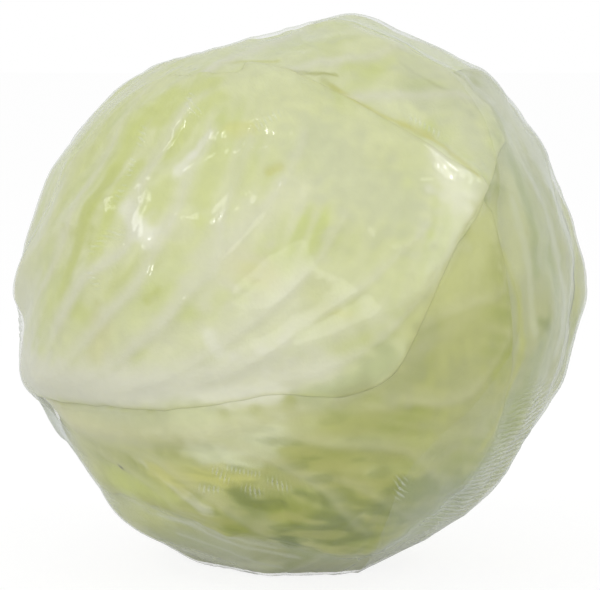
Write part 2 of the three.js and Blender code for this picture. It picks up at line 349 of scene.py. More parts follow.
FRONT_VEINS = [
    (2.9, 1.8, 0.8, [(30, 16), (35, 24), (44, 33), (50, 41), (58, 60), (60, 71)]),
    (2.9, 2.0, 1.0, [(36, 10), (46, 18), (54, 25), (60, 30), (72, 35), (74, 42), (81, 54), (92, 63)]),
    (2.5, 2.0, 0.9, [(40, 8), (49, 12), (65, 22), (74, 27), (80, 33), (86, 40), (90, 46), (100, 54)]),
    (2.7, 1.5, 0.9, [(46, 8), (56, 10), (67, 14), (78, 19), (86, 24), (93, 28), (98, 38), (110, 50)]),
    (2.2, 1.2, 0.6, [(86, 24), (92, 28), (100, 32), (112, 38), (124, 46)]),
    (2.5, 1.3, 0.8, [(60, 8), (73, 9), (82, 11), (89, 13), (95, 15), (108, 20), (122, 28)]),
    (2.4, 1.2, 0.7, [(72, 7), (83, 7), (91, 8), (99, 10), (105, 12), (120, 15), (138, 20)]),
    (2.2, 1.2, 0.5, [(90, 4), (104, 3), (116, 4), (130, 9), (146, 16)]),
    (1.8, 1.0, 0.4, [(36, 34), (41, 46), (45, 56), (46, 66)]),
    (1.7, 0.8, 0.3, [(62, 38), (66, 50), (74, 62)]),
]
LOWER_VEINS = [
    (3.0, 1.8, 0.5, [(40, 2), (52, -2), (60, -6), (66, -11)]),
    (3.2, 1.8, 0.6, [(52, 4), (65, 2), (72, -6), (78, -13), (82, -20)]),
    (3.2, 1.8, 0.6, [(66, 8), (79, 7), (89, 0), (93, -5), (98, -14), (100, -26)]),
    (3.0, 1.8, 0.5, [(84, 8), (96, 3), (112, -8), (117, -14), (120, -24)]),
    (2.8, 1.6, 0.5, [(104, 6), (119, 0), (126, -5), (134, -6), (144, -2)]),
    (2.6, 1.4, 0.45, [(116, 14), (134, 11), (140, 9), (147, 7), (156, 10)]),
    (2.2, 1.2, 0.35, [(92, -5), (104, -14), (110, -26), (112, -34)]),
]
TOP_VEINS = [
    (3.0, 1.8, 1.0, [(60, 16), (84, 25), (104, 35), (118, 46), (126, 56)]),
    (3.0, 1.6, 0.9, [(72, 12), (96, 20), (118, 26), (134, 31), (146, 38)]),
    (2.8, 1.6, 0.9, [(84, 8), (108, 12), (126, 16), (142, 19), (156, 20)]),
    (2.6, 1.4, 0.8, [(50, 22), (68, 36), (84, 48), (96, 58)]),
]
APEX_VEINS = [
    (3.0, 1.4, 0.6, [(60, 4), (90, 6), (120, 4), (150, 3), (180, 2), (206, 4)]),
    (2.6, 1.4, 0.6, [(90, 2), (120, -4), (150, -7), (178, -8), (204, -6)]),
    (2.6, 1.4, 0.6, [(100, 6), (126, 10), (150, 12), (176, 11), (198, 8)]),
    (2.4, 1.2, 0.5, [(80, -4), (110, -14), (140, -19), (170, -20), (196, -14)]),
    (2.4, 1.2, 0.5, [(130, 6), (150, 8), (176, 6), (200, 3)]),
    (2.4, 1.2, 0.5, [(70, 8), (84, 18), (96, 28), (104, 36)]),
    (2.4, 1.2, 0.5, [(60, 10), (70, 24), (76, 34)]),
    (2.4, 1.2, 0.5, [(50, -6), (80, -24), (110, -38), (150, -48)]),
]

LEAVES = [  # from the innermost to the outermost
    Leaf(
        "inner_back_leaf", (180, -70), (14, 176), (-16, -44, -60, -66, -66, -60, -44, -16),
        (16, 44, 60, 66, 66, 60, 44, 16), colours=PALE, seed=11, spacing=2.6,
    ),
    Leaf(
        "crown_leaf", (150, 75), (14, 186), (-16, -40, -56, -64, -66, -60, -44, -14),
        (16, 42, 58, 66, 68, 62, 46, 16), colours=PALE, seed=12, spacing=1.8,
    ),
    Leaf(
        "under_leaf", (0, -84), (14, 218), (-16, -44, -58, -64, -62, -52, -36, -14),
        (14, 34, 40, 36, 34, 32, 34, 20), colours=GREY, seed=13, veins=APEX_VEINS, spacing=1.2,
    ),
    Leaf(
        "lower_back_leaf", (180, -25), (14, 168), (-16, -42, -58, -66, -66, -58, -42, -14),
        (16, 40, 56, 64, 64, 56, 40, 16), colours=GREEN, seed=14, spacing=1.6,
    ),
    Leaf(
        "lower_front_leaf", (0, -25), (14, 160), (-14, -14, -14.5, -24, -40, -34, -20, 18),
        (16, 32, 42, 48, 50, 48, 42, 27), colours=GREEN, seed=15, veins=LOWER_VEINS,
        midrib=7, spacing=0.75, lean=0.3, torn=(2, -46),
    ),
    Leaf(
        "upper_back_leaf", (180, 40), (14, 150), (-16, -36, -44, -44, -42, -35, -23, -6),
        (16, 42, 58, 66, 66, 58, 42, 16), colours=GREEN, seed=16, spacing=1.6,
    ),
    Leaf(
        "top_leaf", (0, 30), (14, 162), (-12, -20, -24, -24, -20, -12, -16, 13),
        (18, 40, 52, 58, 60, 58, 50, 22), colours=PALE, seed=17, veins=TOP_VEINS,
        midrib=6, spacing=0.9, wave=0.6,
    ),
    Leaf(
        "front_leaf", (-2, -14), (14, 158), (-2, 3, 3.5, 2, 0, -5, 10, 18.5),
        (20, 64, 77, 77, 75, 71, 68, 21), colours=PALE, seed=18, veins=FRONT_VEINS,
        midrib=8.5, rib=(3.6, 7.5), spacing=0.75, wave=0.25, edge=(2.0, 9.0), lean=0.5,
    ),
]


# ---- layers ----


def heart_radius(d):
    return with_mounds(HEART_RADIUS, d, SWELLINGS)


def level_under(d, count=len(LEAVES)):
    """The radius that the first leaves build up, where the next layer starts."""
    level = heart_radius(d) + LAYER_GAP
    for leaf in LEAVES[:count]:
        level = level + leaf.lift(d)
    return level


def swell_beside(d, index):
    """How far a leaf is pressed out beside the thick stem ends of the leaves over it."""
    swell = np.zeros(d.shape[:-1])
    free = np.ones(d.shape[:-1])
    for leaf in LEAVES[index + 1 :]:
        free = free * smoothstep(0, 1.5, -leaf.inside(*leaf.angles(d)))
        swell = swell + np.maximum(leaf.lift(d) - 0.6, 0)
    return free * swell


def spread_directions(count, seed, scatter):
    """Directions spread over the whole ball, a little unevenly."""
    golden = math.pi * (3 - math.sqrt(5))
    z = 1 - (2 * np.arange(count) + 1) / count
    turn = golden * np.arange(count)
    flat = np.sqrt(1 - z * z)
    spots = np.stack([flat * np.cos(turn), flat * np.sin(turn), z], -1)
    spots = spots + np.random.default_rng(seed).normal(0, scatter, spots.shape)
    return spots / np.linalg.norm(spots, axis=1)[:, None]


def pressed(d):
    """The share of its radius that the head keeps where the film presses its facets flat."""
    normals = spread_directions(FACETS, 21, 0.06)
    reach = 1 + np.random.default_rng(22).uniform(-FACET_SPREAD, FACET_SPREAD, FACETS)

    def to_facets(block):
        planes = reach / np.maximum(block @ normals.T, 0.6)
        nearest = planes.min(1, keepdims=True)
        total = np.exp(-FACET_SHARPNESS * (planes - nearest)).sum(1)
        return nearest[:, 0] - np.log(total) / FACET_SHARPNESS

    return by_blocks(d, 20000, to_facets) * PRESSED_IN


def settled(d, radius, outermost):
    """Radii as the head has settled: pressed by the film, and flat where it meets the floor."""
    press = pressed(d)
    depth = -d[..., 2] * outermost * press
    return radius * press * np.where(depth > REST_DEPTH, REST_DEPTH / np.maximum(depth, 1), 1)


# ---- meshes ----


def make_object(name, points, faces, paint=None, places=None):
    mesh = bpy.data.meshes.new(name)
    mesh.from_pydata((points * MM).tolist(), [], faces)
    mesh.polygons.foreach_set("use_smooth", [True] * len(mesh.polygons))
    if paint is not None:
        layer = mesh.attributes.new("paint", "FLOAT_COLOR", "POINT")
        rgba = np.concatenate([paint, np.ones((len(paint), 1))], 1)
        layer.data.foreach_set("color", rgba.astype(np.float32).ravel())
    if places is not None:
        layer = mesh.attributes.new("place", "FLOAT_VECTOR", "POINT")
        layer.data.foreach_set("vector", places.astype(np.float32).ravel())
    mesh.update()
    piece = bpy.data.objects.new(name, mesh)
    bpy.context.scene.collection.objects.link(piece)
    return piece


def grid_faces(rows, columns, start=0):
    i, j = np.meshgrid(np.arange(rows), np.arange(columns), indexing="ij")
    a = start + i * (columns + 1) + j
    return np.stack([a, a + 1, a + columns + 2, a + columns + 1], -1).reshape(-1, 4)


def shell_faces(rows, columns, step):
    """A fine outer grid, a coarse inner grid, and the strips that join their edges."""
    outer = grid_faces(rows, columns).tolist()
    count = (rows + 1) * (columns + 1)
    inner_rows, inner_columns = rows // step, columns // step
    inner = grid_faces(inner_rows, inner_columns, count)[:, ::-1].tolist()

    def fine(i, j):
        return i * (columns + 1) + j

    def coarse(i, j):
        return count + i * (inner_columns + 1) + j

    strips = []
    for j in range(inner_columns):
        run = range(j * step, (j + 1) * step + 1)
        strips.append([fine(0, k) for k in reversed(run)] + [coarse(0, j), coarse(0, j + 1)])
        last = inner_rows
        strips.append([fine(rows, k) for k in run] + [coarse(last, j + 1), coarse(last, j)])
    for i in range(inner_rows):
        run = range(i * step, (i + 1) * step + 1)
        strips.append([fine(k, 0) for k in run] + [coarse(i + 1, 0), coarse(i, 0)])
        last = inner_columns
        strips.append(
            [fine(k, columns) for k in reversed(run)] + [coarse(i, last), coarse(i + 1, last)]
        )
    return [face[::-1] for face in outer + inner + strips]


def leaf_grid(leaf, step=4):
    """Margin-fitted s and t for a leaf's fine outer grid."""
    length = (leaf.reach[1] - leaf.reach[0]) * ARC
    stations = np.linspace(*leaf.reach, 40)
    low, high = leaf.margins(stations)
    width = (high - low).max() * ARC
    rows = step * max(2, round(length / leaf.spacing / step))
    columns = step * max(2, round(width / leaf.spacing / step))
    s = np.linspace(*leaf.reach, rows + 1)[:, None]
    v = np.linspace(0, 1, columns + 1)[None, :]
    v = 0.75 * v + 0.25 * (0.5 - 0.5 * np.cos(math.pi * v))
    low, high = leaf.margins(s)
    return np.broadcast_to(s, (rows + 1, columns + 1)), low + (high - low) * v, rows, columns


# Brush strokes over the leaves: colour, strength, half width in mm, and places along the stroke
# as azimuth and elevation. A few of them are painted highlights and painted light, as marked.
# the first of these tones is the white of the painted highlights
PAINTED_HIGHLIGHT, IVORY, PEARL, CREAM = "f0f0e0", "f0f0d8", "e4e8c0", "e0e0c4"
PALE_CELL, CELL, DEEP_CELL = "dce0b0", "c8d078", "bcc460"
FROST, MIST, SAGE, TAN = "d0d4bc", "ccd0a8", "b8c088", "d4d098"
STRAW, LIME, LEMON, GOLD = "ccd090", "c8cc84", "d4d478", "c4c460"
BLADE_GREEN, RIM, DRAB = "b4b860", "bcc050", "acb078"
OLIVE, FERN, SHADE = "a4a84c", "a0ac64", "8c9850"
MOSS, DEEP, DARK, SPECK = "949c30", "808c30", "6c7c18", "242008"
STROKES = [
    # green cells between the veins of the front leaf, on a paler ground
    (PALE_CELL, 0.6, 12, [(-33, 24), (-22, 24)]),
    (PALE_CELL, 0.5, 8, [(-46, 12), (-30, 12)]),
    (PALE_CELL, 0.5, 8, [(-42, 44), (-30, 41), (-21, 33)]),
    (CELL, 0.8, 5, [(-63, 18), (-60, 28), (-58, 37)]),
    (DEEP_CELL, 0.7, 3.5, [(-53, 4), (-50, 13), (-47, 21), (-45, 29)]),
    (CELL, 0.8, 4, [(-45, 29), (-43, 38), (-38, 47)]),
    (CELL, 0.7, 5, [(-60, 0), (-55, 4)]),
    (CELL, 0.7, 3, [(-44, 10), (-42, 20), (-38, 30)]),
    (CELL, 0.7, 3.5, [(-37, 40), (-33, 47), (-26, 50)]),
    (CELL, 0.6, 3, [(-31, 33), (-28, 40), (-22, 46)]),
    (DEEP_CELL, 0.45, 3, [(-38, 4), (-34, 8), (-29, 12)]),
    (DEEP_CELL, 0.5, 1.6, [(-29, 4), (-27, 6)]),
    (CELL, 0.6, 4, [(-48, 1), (-42, -1)]),
    (CELL, 0.5, 4, [(-31, 20), (-28, 26)]),
    (CELL, 0.5, 3.5, [(-20, 24), (-18, 33)]),
    (CELL, 0.45, 4, [(-24, 14), (-20, 19)]),
    (DEEP_CELL, 0.4, 2.5, [(10, 3), (13, -3)]),
    (GOLD, 0.55, 1.6, [(-6, 29), (-4, 30)]),
    (LEMON, 0.5, 3, [(-16, 38), (-12, 38)]),
    (GOLD, 0.45, 1.8, [(5, 3), (9, 2)]),
    (TAN, 0.5, 5, [(-12, 12), (-6, 9)]),
    (TAN, 0.4, 5, [(-42, -7), (-40, -2)]),
    # pale, milky places of the front leaf, and soft painted highlights on it
    (CREAM, 0.8, 7, [(-72, -13), (-50, -14), (-30, -12), (-14, -11), (4, -8)]),
    (CREAM, 0.5, 9, [(-24, -4), (-12, -2), (0, 6)]),
    (CREAM, 0.5, 7, [(-18, 8), (-10, 18), (0, 25)]),
    (IVORY, 0.85, 5, [(-46, -15), (-35, -14), (-23, -14), (-12, -14), (-5, -13)]),
    (PEARL, 0.6, 6, [(38, 28), (35, 22), (31, 16), (27, 11)]),
    (MIST, 0.7, 10, [(4, 36), (12, 26), (20, 22)]),
    (STRAW, 0.6, 4.5, [(3, 7), (5, 2), (8, -3)]),
    (CREAM, 0.4, 5, [(-33, 17), (-28, 17), (-23, 17)]),
    # painted highlights: soft white glows on ridges of the front leaf
    (PAINTED_HIGHLIGHT, 0.6, 2.4, [(-26, 29), (-24, 32)]),
    (PAINTED_HIGHLIGHT, 0.5, 1.2, [(-24, 32), (-21, 37)]),
    (PAINTED_HIGHLIGHT, 0.6, 3.4, [(-37, 21), (-34, 18), (-30, 16)]),
    # a painted highlight near the tip of the front leaf
    (IVORY, 0.5, 5, [(33, 32), (33, 24), (38, 21)]),
    # painted highlights on the pale midrib band
    (PAINTED_HIGHLIGHT, 0.5, 3, [(-33, -13), (-27, -13)]),
    (PAINTED_HIGHLIGHT, 0.5, 2.4, [(-17, -2), (-15, -5)]),
    # the yellow edges near the tip of the front leaf
    (GOLD, 0.6, 1.1, [(10, 50), (15, 46), (22, 42), (29, 39), (36, 34), (41, 27)]),
    (GOLD, 0.6, 2, [(27, 40), (33, 37)]),
    (SAGE, 0.8, 4.6, [(3, -14), (9, -12), (14, -9), (17, -6)]),
    (DRAB, 0.8, 3.6, [(8, -14), (13, -12)]),
    (LIME, 0.7, 5, [(22, -1), (24, 4)]),
    # creases and patches of the top leaf
    (OLIVE, 0.9, 0.8, [(-1, 54), (5, 53.5), (12, 53.5)]),
    (RIM, 0.6, 1, [(-28, 57), (-20, 58), (-8, 58)]),
    (BLADE_GREEN, 0.5, 1.2, [(8, 51), (11, 49)]),
    (CELL, 0.6, 5, [(-2, 66), (10, 67), (22, 68)]),
    (CELL, 0.5, 3.5, [(18, 57), (27, 56)]),
    (SAGE, 0.7, 5, [(36, 48), (42, 51), (47, 47)]),
    (DRAB, 0.5, 0.9, [(40, 57), (46, 49), (52, 44)]),
    (MIST, 0.6, 5.5, [(46, 38), (46, 30)]),
    (STRAW, 0.7, 3.5, [(45, 21), (43, 16)]),
    (PALE_CELL, 0.7, 6, [(25, 47), (31, 43)]),
    (MIST, 0.7, 8, [(46, 56), (58, 50)]),
    (MIST, 0.6, 6, [(40, 44), (52, 44)]),
    (MIST, 0.6, 9, [(-20, 67), (0, 72)]),
    # the lower front leaf
    (MIST, 0.8, 4.5, [(-58, -21), (-46, -20), (-33, -20), (-19, -19)]),
    (STRAW, 0.7, 4, [(-11, -19), (-2, -19), (4, -19)]),
    (PALE_CELL, 0.85, 6.5, [(-24, -18), (-16, -21), (-10, -22)]),
    (PEARL, 0.9, 5.5, [(-21, -27), (-12, -27), (-5, -22)]),
    (CREAM, 0.8, 2.2, [(-40, -31), (-32, -37), (-25, -42)]),
    (LIME, 0.7, 5, [(-50, -26), (-36, -29)]),
    (CELL, 0.8, 5, [(-56, -39), (-46, -38), (-37, -40)]),
    (LIME, 0.7, 4.5, [(-38, -31), (-27, -31)]),
    (CELL, 0.8, 5, [(-54, -37), (-53, -46)]),
    (BLADE_GREEN, 0.8, 4, [(-42, -44), (-28, -46), (-18, -48)]),
    (LEMON, 0.85, 5, [(-35, -34), (-20, -34), (-13, -34)]),
    (MOSS, 0.25, 4.5, [(-9, -26), (-1, -24), (10, -24)]),
    (OLIVE, 0.7, 5, [(0, -28), (12, -28), (22, -27)]),
    (DARK, 0.6, 4, [(-15, -37), (-11, -42)]),
    (MOSS, 0.7, 4, [(-19, -45), (-15, -46)]),
    (DRAB, 0.7, 3.2, [(-11, -45), (-8, -44)]),
    (LIME, 0.7, 3, [(-25, -39), (-21, -37)]),
    (LIME, 0.7, 6, [(-62, -29), (-65, -36), (-76, -44)]),
    (DARK, 0.75, 3.4, [(-3, -48), (-3, -53)]),
    (SHADE, 0.7, 2.6, [(-17, -42), (-15, -44)]),
    (DARK, 0.55, 1.5, [(0, -37), (6, -38), (12, -37), (16, -38)]),
    (MOSS, 0.7, 5.5, [(2, -46), (12, -46), (20, -46)]),
    (DARK, 0.4, 3, [(8, -43), (17, -44), (20, -50)]),
    (LIME, 0.35, 2.4, [(-2, -22), (14, -23), (30, -24), (42, -21)]),
    (LIME, 0.8, 6, [(41, 19), (37, 12), (29, 5)]),
    (DRAB, 0.7, 4.5, [(25, -2), (23, -8), (19, -13)]),
    (BLADE_GREEN, 0.7, 4.5, [(6, -20), (14, -19)]),
    (BLADE_GREEN, 0.7, 4, [(3, -29), (14, -29)]),
    (DEEP, 0.85, 5, [(4, -46), (13, -44)]),
    (OLIVE, 0.7, 4, [(14, -38), (18, -38)]),
    (DRAB, 0.6, 7, [(34, -12), (38, -18), (32, -25)]),
    (OLIVE, 0.9, 5, [(8, -34), (14, -34), (22, -34)]),
    (SHADE, 0.9, 5.5, [(27, -35), (37, -36), (44, -38)]),
    (DEEP, 0.9, 4.5, [(20, -40), (25, -42)]),
    (SHADE, 0.9, 5.5, [(28, -42), (34, -42), (41, -43)]),
    (DEEP, 0.8, 4, [(8, -50), (16, -50)]),
    (MOSS, 0.8, 4, [(-5, -41), (2, -41)]),
    (DEEP, 0.8, 3.6, [(6, -42), (13, -42)]),
    (MOSS, 0.8, 5, [(-15, -48), (-7, -50)]),
    (DARK, 0.8, 3.6, [(-4, -50), (-2, -54)]),
    (RIM, 0.6, 1.5, [(46, 12), (50, 4), (50, -6), (48, -16), (44, -27)]),
    (SPECK, 1.0, 0.9, [(-50.6, -34.4), (-50.2, -34.6)]),
    # the leaf behind it, along the right and under the head
    (SAGE, 0.7, 8, [(63, 36), (58, 26), (64, 8)]),
    (FROST, 0.8, 7, [(76, 46), (80, 32), (84, 20)]),
    (FERN, 0.7, 9, [(60, -8), (54, -22), (48, -38), (38, -54)]),
    (SHADE, 0.7, 5, [(46, -39), (52, -42)]),
    (DRAB, 0.6, 6, [(74, -24), (76, -18)]),
    (STRAW, 0.6, 6, [(54, 26), (52, 18), (50, 10)]),
    (MIST, 0.6, 5, [(75, 38), (66, 33)]),
    (STRAW, 0.8, 7, [(-74, -52), (-58, -47), (-48, -49)]),
    (PEARL, 0.85, 7, [(-68, -68), (-54, -71)]),
    # a paler strip under the head: partly the leaf's tone, partly painted light from the floor below
    (PALE_CELL, 0.8, 5, [(-50, -71), (-36, -70), (-16, -67)]),
    (FERN, 0.7, 6, [(44, -55), (50, -49)]),
    (SAGE, 0.6, 7, [(-30, -58), (-46, -56)]),
    (FERN, 0.6, 5, [(2, -60), (12, -61)]),
    (FROST, 0.7, 1.1, [(-48, -48), (-36, -50), (-24, -54), (-10, -59), (0, -62)]),
    (FROST, 0.6, 0.9, [(-34, -49), (-20, -52), (-8, -57)]),
    (FROST, 0.6, 1.2, [(-46, -54), (-28, -60), (-10, -68)]),
    (FERN, 0.7, 2.6, [(60, 32), (58, 20), (57, 8)]),
    (FERN, 0.6, 3.4, [(64, 12), (65, 4)]),
    (SHADE, 0.6, 2, [(56, -2), (60, -4)]),
    (FROST, 0.7, 1.8, [(66, 30), (68, 12), (70, 2), (68, -10)]),
    (MIST, 0.6, 1.8, [(52, 22), (54, 10), (54, -4)]),
]


def in_strokes(paint, d, fine):
    """Lays the brush strokes over the paint, with edges feathered by fine noise."""
    for code, strength, width, places in STROKES:
        reach = from_path(d, places) * (1 + 0.18 * fine)
        near = reach < 2 * width
        if near.any():
            amount = strength * np.exp(-((reach[near] / width) ** 3))
            paint[near] = blend_in(paint[near], colour(code), amount)
    return paint


def leaf_paint(leaf, d, s, t):
    shades = {key: colour(code) for key, code in leaf.colours.items()}
    points = d * HEART_RADIUS
    fine = ripples(points, 6, leaf.seed + 2)
    broad = 0.5 + 0.5 * ripples(points, 30, leaf.seed + 1)
    # streaks follow the side veins, which leave the midrib at a slant
    across = (s - 1.05 * np.abs(t - leaf.midrib)) * ARC
    along = np.stack([across, np.abs(t) * ARC * 0.22, 0 * s], -1)
    streaks = 0.5 + 0.5 * ripples(along, 8, leaf.seed + 3)
    paint = blend_in(shades["base"], shades["streak"], 0.55 * broad * (0.35 + streaks))
    paint = in_strokes(paint, d, fine)
    paint = paint * (1 + 0.015 * fine)[..., None]
    if leaf.torn:
        bruised = bump(off(d, *leaf.torn), 22)
        flecks = ripples(points * (0.45, 1, 1.5), 7, leaf.seed + 5)
        paint = blend_in(paint, colour(DARK), 0.5 * bruised * smoothstep(0.4, 1.1, flecks))
        paint = blend_in(paint, colour("bcbc6c"), 0.5 * bruised * smoothstep(0.4, 1.1, -flecks))
    vein = leaf.look_up(leaf.vein, s, t)
    # painted shade along the far side of each vein ridge
    paint = paint * (1 - 0.05 * leaf.look_up(leaf.painted_vein_shade, s, t))[..., None]
    rib = leaf.rib_rise(s, t) / 2.2
    near_stem = 1 - smoothstep(leaf.reach[0] + 6, leaf.reach[0] + 40, s)
    milk = np.maximum(np.maximum(0.8 * vein, rib), 0.6 * near_stem)
    paint = blend_in(paint, shades["cream"], milk)
    return blend_in(paint, shades["margin"], 0.3 * (1 - smoothstep(0, 2.0, leaf.inside(s, t))))


def two_sided(fine, coarse, step):
    """Rows for the fine outer side of a leaf, then for its coarse inner side."""
    return np.concatenate([fine.reshape(-1, 3), coarse[::step, ::step].reshape(-1, 3)])


def make_leaf(index, step=4):
    leaf = LEAVES[index]
    s, t, rows, columns = leaf_grid(leaf, step)
    d = leaf.point(s, t)
    base = level_under(d, index)
    edge = np.clip(leaf.inside(s, t) / np.interp(s, leaf.reach, leaf.edge), 0, 1)
    body = 0.08 + 0.92 * (1 - (1 - edge) ** 2) ** 0.7
    outermost = level_under(d) + 1
    raised = (leaf.thickness(s, t) + swell_beside(d, index)) * body
    top = settled(d, base + raised, outermost)
    base = settled(d, base, outermost)
    points = two_sided(d * top[..., None], d * base[..., None], step) + MIDDLE
    paint = leaf_paint(leaf, d, s, t)
    paint = two_sided(paint, paint, step)
    places = np.stack([s * ARC, t * ARC, 0 * s], -1) * MM
    places = two_sided(places, places, step)
    faces = shell_faces(rows, columns, step)
    return make_object("leaf_" + leaf.name, points, faces, paint, places)


def ball_grid(rows, columns):
    """Directions over the whole ball, without its two poles."""
    elevation = np.linspace(-90, 90, rows + 1)[1:-1, None]
    azimuth = np.linspace(0, 360, columns, endpoint=False)[None, :]
    return direction(azimuth + 0 * elevation, elevation + 0 * azimuth)


def ring_faces(rings, count):
    """Faces between rings of points in order, closed by a first and a last end point."""
    around = [(j, (j + 1) % count) for j in range(count)]
    last, end = (rings - 1) * count, rings * count
    faces = []
    for a in range(0, last, count):
        faces += [(a + j, a + k, a + count + k, a + count + j) for j, k in around]
    for j, k in around:
        faces += [(k, j, end), (last + j, last + k, end + 1)]
    return faces


def make_heart():
    d = ball_grid(60, 120)
    ends = np.array([[0, 0, -1.0], [0, 0, 1.0]])
    radius = settled(d, heart_radius(d), level_under(d) + 1)
    end_radius = settled(ends, heart_radius(ends), level_under(ends) + 1)
    skin = (d * radius[..., None]).reshape(-1, 3)
    points = np.concatenate([skin, ends * end_radius[:, None]]) + MIDDLE
    everywhere = np.concatenate([d.reshape(-1, 3), ends])
    broad = 0.5 + 0.5 * ripples(everywhere * HEART_RADIUS, 22, 91)
    paint = blend_in(colour("d3d79a"), colour("bdc673"), broad)
    places = everywhere * HEART_RADIUS * MM
    return make_object("packed_inner_leaves", points, ring_faces(*d.shape[:2]), paint, places)


def make_stalk():
    """The cut stub: a slightly waisted bar with a rounded rim and a dished, dry cut face."""
    turns = 72
    side = np.cross(STEM, (0, 0, 1.0))
    side /= np.linalg.norm(side)
    up = np.cross(side, STEM)
    full, top = STALK["radius"], STALK["top"]
    profile = [(full * 1.02, top - 14), (full * 0.97, top - 8), (full * 0.98, top - 3)]
    profile += [(full * 0.97, top - 1.2), (full * 0.93, top - 0.3), (full * 0.86, top)]
    profile += [(full * 0.7, top - 0.35), (full * 0.5, top - 0.7), (full * 0.28, top - 0.9)]
    rings = []
    for r, height in profile:
        angle = np.linspace(0, 2 * math.pi, turns, endpoint=False)
        wobble = 1 + 0.03 * np.sin(3 * angle + 1) + 0.015 * np.sin(7 * angle)
        ring = np.cos(angle)[:, None] * side + np.sin(angle)[:, None] * up
        rings.append(ring * (r * wobble)[:, None] + STEM * height)
    ends = [STEM * (top - 14), STEM * (top - 0.95)]
    points = np.concatenate(rings + [np.array(ends)]) + MIDDLE
    faces = ring_faces(len(profile), turns)
    arms = points - MIDDLE
    rim = np.linalg.norm(arms - (arms @ STEM)[:, None] * STEM, axis=1)
    paint = blend_in(colour("e0dfc6"), colour("b79f6c"), bump(rim - 0.8 * full, 1.6))
    return make_object("cut_stalk", points, faces, paint, points * MM)


# ---- film ----

# The film is wound about the upright axis. Its outer edge runs up the right of the head at these
# azimuths, and its inner edge is out of sight behind that lap.
LAP_EDGE = (60, 48, 31, 25, 27, 42, 51, 46, 52, 58, 60, 60, 60)
LAP_WIDTH = 60
LAP_RISE = 0.15

RIPPLES = (450, -170)  # fine gathers to a metre, round the head and away from its front

# Creases in the film: half width in mm, height, and places along it as azimuth, elevation.
CREASES = [
    (0.9, 0.5, [(-31, 46), (-29, 43), (-24, 42), (-19, 41), (-15, 40)]),
    (0.8, 0.4, [(-11, 37), (-9, 39), (-5, 41)]),
    (0.8, 0.4, [(-31, 36), (-33, 33), (-35, 28), (-36, 24)]),
    (0.9, 0.5, [(-40, 11), (-38, 13), (-36, 14)]),
    (0.8, 0.4, [(-19, -31), (-14, -32), (-9, -32)]),
    (0.8, 0.4, [(-24, -37), (-20, -34), (-17, -32)]),
    (0.7, 0.4, [(24, -33), (24, -37)]),
    (0.9, 0.4, [(30, 40), (36, 37), (39, 34)]),
    (0.9, 0.4, [(41, 27), (40, 23), (38, 19)]),
    (0.8, 0.3, [(-17, 17), (-16, 13), (-18, 9)]),
    (0.8, 0.3, [(-30, 0), (-27, 2), (-25, 5)]),
    (0.9, 0.3, [(17, -10), (18, -13), (17, -16)]),
    (1.0, 0.4, [(60, -1), (57, 0), (54, -1)]),
]

# Short puckers, finely rippled, with white painted glints on the ripple crests: strength, half width
# in mm, and places.
GATHERS = [
    (1.6, 1.2, [(-41, 38), (-40, 35)]),
    (1.6, 1.2, [(-40, 31), (-39, 28)]),
    (1.6, 1.2, [(-39, 25), (-40, 23)]),
    (1.4, 1.4, [(-44, 13), (-40, 16), (-37, 16)]),
    (1.2, 1.2, [(-43, 8), (-41, 6)]),
    (1.6, 1.2, [(-31, 46), (-29, 43), (-26, 42)]),
    (1.4, 1.2, [(-10, 38), (-5, 41)]),
    (2.4, 1.6, [(-19, -31), (-17, -33)]),
    (2.2, 1.4, [(-24, -36), (-20, -36)]),
    (2.4, 1.8, [(-12, -35), (-10, -36)]),
    (2.2, 1.6, [(-6, -33), (-3, -35)]),
    (2.2, 1.0, [(-16, -30), (-9, -31)]),
    (2.4, 1.2, [(23, -32), (24, -36)]),
    (1.6, 1.4, [(30, 41), (35, 37)]),
]


# Milky places: azimuth, elevation, strength, and width in degrees.
HAZE = [
    (50, -44, 0.08, 20),
    (74, 14, 0.05, 24),
    (-42, -66, 0.04, 14),
    (45, 36, 0.06, 12),
    (-15, 68, 0.09, 26),
    (-78, -40, 0.10, 12),
    (-90, -26, 0.8, 10),
]


def stalk_cover(d):
    """The film clears the rim of the stalk's cut end."""
    away = np.degrees(np.arccos(np.clip(d @ STEM, -1, 1)))
    rim = math.hypot(STALK["top"], STALK["radius"]) + 2 * FILM_CLEAR
    return rim * (1 - smoothstep(*STALK_COVER, away))


def hull_radius(d):
    """The head's taut skin: the convex hull of its high points."""
    spots = spread_directions(1400, 5, 0.02)
    mesh = bmesh.new()
    for point in spots * np.maximum(level_under(spots), stalk_cover(spots))[:, None]:
        mesh.verts.new(point)
    bmesh.ops.convex_hull(mesh, input=mesh.verts)
    mesh.normal_update()
    normals = np.array([face.normal for face in mesh.faces])
    corners = np.array([face.verts[0].co for face in mesh.faces])
    mesh.free()
    heights = (normals * corners).sum(1)
    normals *= np.sign(heights)[:, None]
    heights = np.abs(heights)

    def to_hull(block):
        facing = block @ normals.T
        return np.where(facing > 0.3, heights / np.maximum(facing, 0.3), 400).min(1)

    return by_blocks(d, 4000, to_hull)


def steps(*runs):
    """Values from run to run, each as (start, end, count), with the end of the last one."""
    lines = [np.linspace(*run, endpoint=False) for run in runs[:-1]]
    return np.concatenate(lines + [np.linspace(*runs[-1])])


def film_turn():
    """Degrees from the outer edge round to the inner edge, close together over the front."""
    front = ((LAP_WIDTH, 0, 38), (0, -120, 210), (-120, -160, 22))
    return steps(*front, (-160, -300, 54), (-300, -360, 36))


def film_rows():
    return steps((-89.8, -52, 24), (-52, 0, 86), (0, 52, 86), (52, 89.8, 34))


